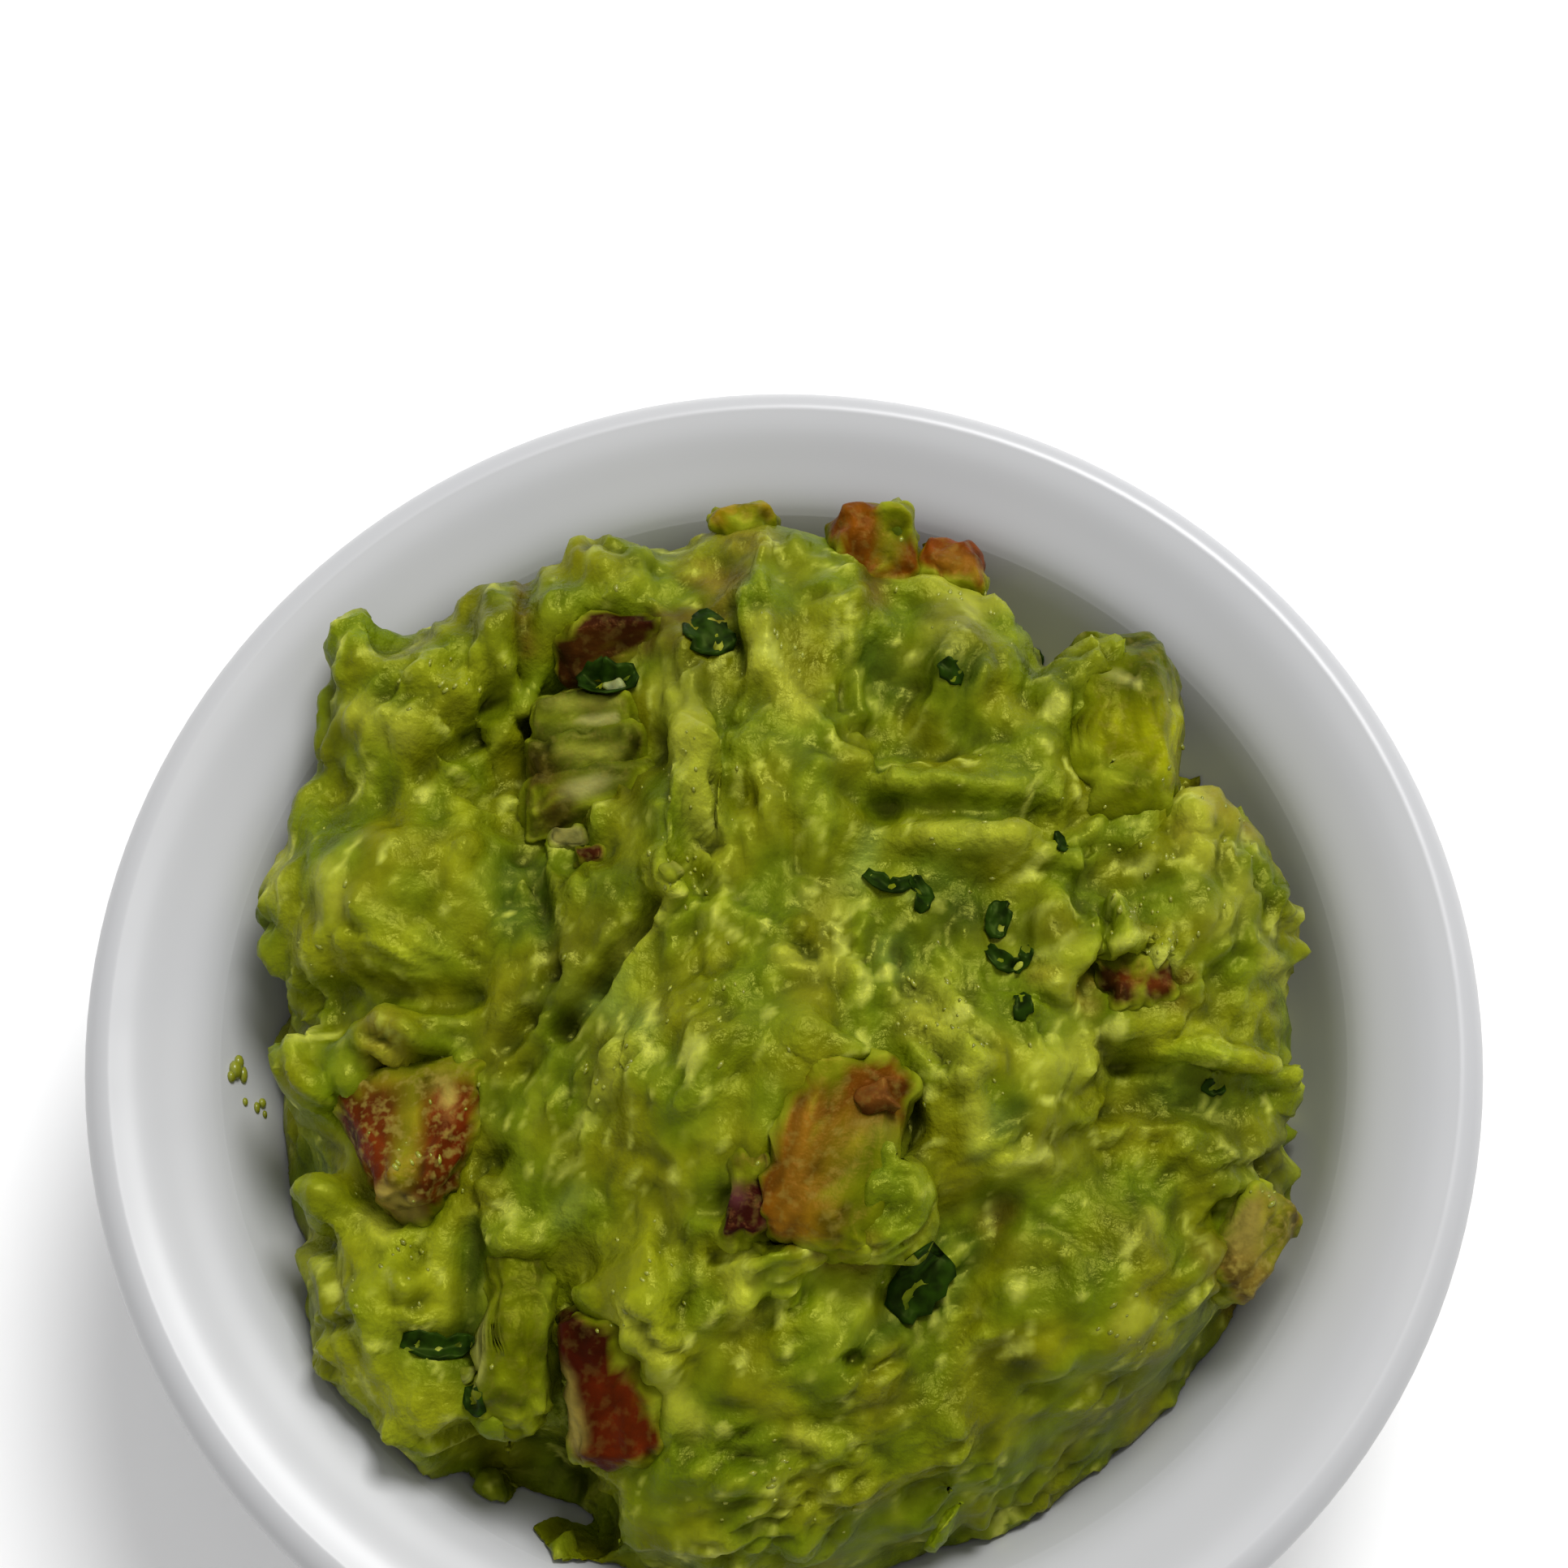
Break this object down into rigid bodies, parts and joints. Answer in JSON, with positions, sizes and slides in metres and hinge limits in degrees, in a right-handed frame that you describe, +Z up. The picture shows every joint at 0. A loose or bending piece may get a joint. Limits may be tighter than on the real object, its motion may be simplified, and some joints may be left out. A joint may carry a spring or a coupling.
{
  "type": "guacamole in a bowl",
  "caption": "Mashed-avocado guacamole heaped in a small round white rimmed bowl, with diced tomato, onion and larger avocado chunks pressed into the heap.",
  "frame": {"origin": "centre of the foot ring's underside, which is the bottom centre of the bounding box", "axes": "+Z up, out of the bowl's mouth; +X right and +Y away for someone who looks at the dish from its near side, -Y"},
  "size_m": [0.114, 0.114, 0.0468],
  "materials": {
    "bowl": "white glossy glaze",
    "mash": "wet mashed avocado, satin with small highlights",
    "tomato": "wet cut tomato",
    "onion": "wet translucent onion",
    "avocado": "smooth ripe avocado flesh"
  },
  "bodies": {
    "root": {"bowl": "bowl", "mash": "mash", "tomato_1": "tomato", "tomato_2": "tomato", "tomato_3": "tomato", "tomato_4": "tomato", "tomato_5": "tomato", "tomato_6": "tomato", "tomato_7": "tomato", "tomato_8": "tomato", "tomato_9": "tomato", "onion_1": "onion", "avocado_1": "avocado", "avocado_2": "avocado"}
  },
  "joints": []
}
